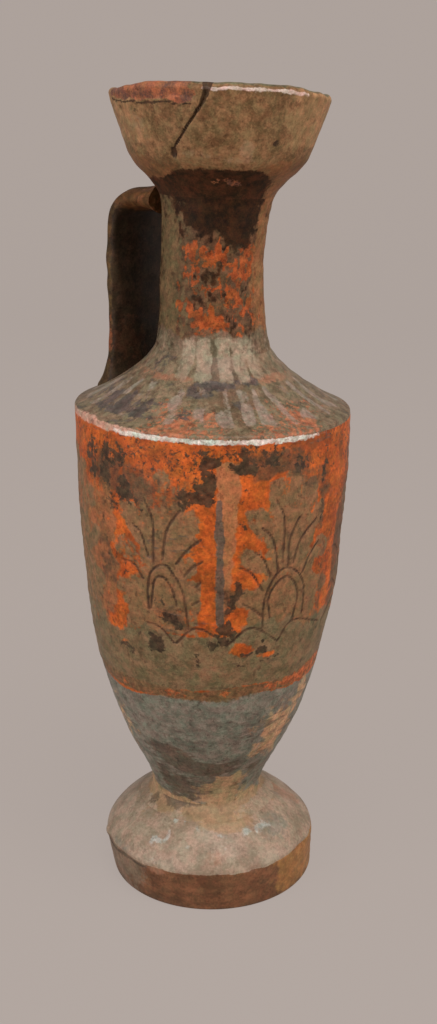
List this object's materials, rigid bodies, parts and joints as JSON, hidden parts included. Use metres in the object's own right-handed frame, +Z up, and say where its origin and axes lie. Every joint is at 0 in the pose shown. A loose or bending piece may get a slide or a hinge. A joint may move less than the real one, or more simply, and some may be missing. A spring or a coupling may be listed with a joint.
{
  "type": "shoulder flask for perfumed oil",
  "caption": "Small wheel-thrown clay flask: cup-shaped mouth, narrow neck, sloping shoulder, tapering body on a disc foot, and a vertical strap handle.",
  "frame": {"origin": "centre of the resting ring, on the surface that the pot stands on", "axes": "+Z up along the axis of the wheel-thrown sections; -Y is the front; the handle is behind and to the left"},
  "size_m": [0.0536, 0.0536, 0.16],
  "materials": {
    "mouth_clay": "worn satin slip over fired clay",
    "neck_clay": "flaking dark gloss over orange clay",
    "shoulder_clay": "satin, painted tongues and rays",
    "body_clay": "satin, painted and incised palmettes",
    "foot_clay": "smooth fired clay, worn",
    "foot_slip": "matt fired slip",
    "handle_gloss": "dark gloss, worn",
    "luting_slip": "matt fired slip"
  },
  "bodies": {
    "root": {"mouth": "mouth_clay", "mouth_joint_slip": "luting_slip", "neck": "neck_clay", "neck_joint_slip": "luting_slip", "shoulder": "shoulder_clay", "shoulder_joint_slip": "luting_slip", "body_wall": "body_clay", "foot_joint_slip": "foot_slip", "foot": "foot_clay", "handle": "handle_gloss", "handle_upper_luting": "handle_gloss", "handle_lower_luting": "handle_gloss"}
  },
  "joints": []
}
